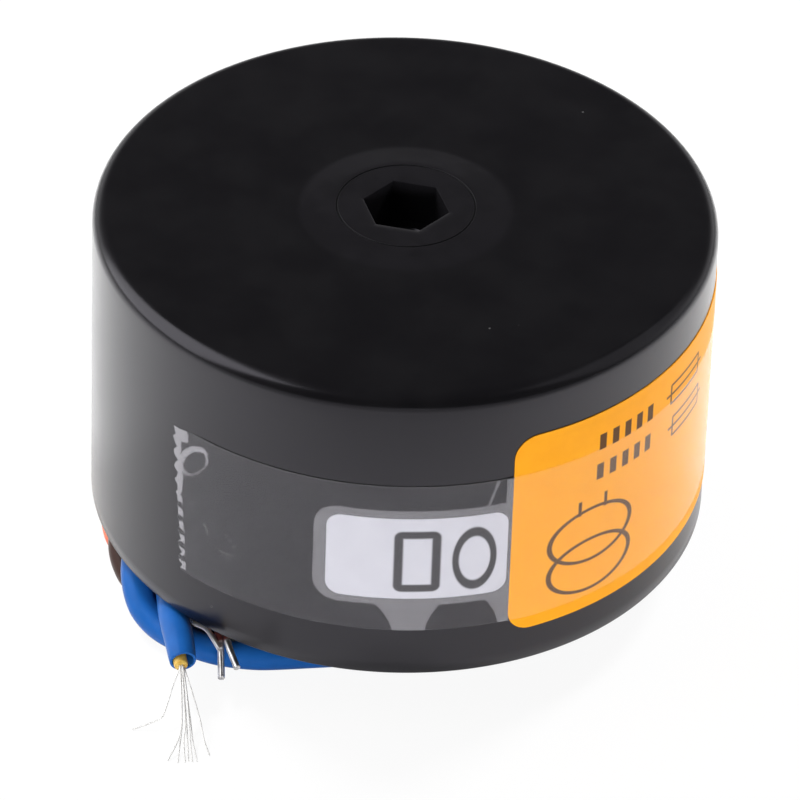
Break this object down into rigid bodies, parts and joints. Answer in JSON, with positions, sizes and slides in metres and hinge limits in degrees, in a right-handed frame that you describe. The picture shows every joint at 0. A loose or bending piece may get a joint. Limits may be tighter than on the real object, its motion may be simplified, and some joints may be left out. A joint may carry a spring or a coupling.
{
  "type": "toroidal transformer",
  "caption": "Potted toroidal mains transformer in a round black cup with a hexagonal bolt pocket, wrap-round labels under clear tape, and sleeved flying leads coiled under its rim.",
  "frame": {"origin": "on the bolt axis, half way between the rim and the closed face", "axes": "+Z along the bolt axis, out of the closed face; -Y towards the front, where the small label is"},
  "size_m": [0.0666, 0.0746, 0.0432],
  "materials": {
    "housing": "satin",
    "resin": "satin",
    "steel": "satin",
    "copper": "gloss",
    "film": "gloss",
    "splice": "satin",
    "blue_sleeve": "satin",
    "brown_sleeve": "satin",
    "orange_sleeve": "satin",
    "yellow_sleeve": "satin",
    "inner_wire": "satin",
    "tinned": "satin",
    "orange_label": "satin",
    "white_label": "satin",
    "tape": "gloss"
  },
  "bodies": {
    "root": {"housing": "housing", "potting_compound": "resin", "core": "steel", "core_insulation": "film", "primary_winding": "copper", "interwinding_insulation": "film", "secondary_winding": "copper", "outer_wrap": "film", "blue_splice": "splice", "brown_splice": "splice", "blue_lead": "blue_sleeve", "blue_core": "inner_wire", "blue_strands": "tinned", "brown_lead": "brown_sleeve", "brown_core": "inner_wire", "brown_conductor": "tinned", "orange_lead": "orange_sleeve", "orange_conductor": "tinned", "yellow_lead": "yellow_sleeve", "yellow_conductor": "tinned", "rating_label": "orange_label", "small_label": "white_label", "clear_tape": "tape"}
  },
  "joints": []
}
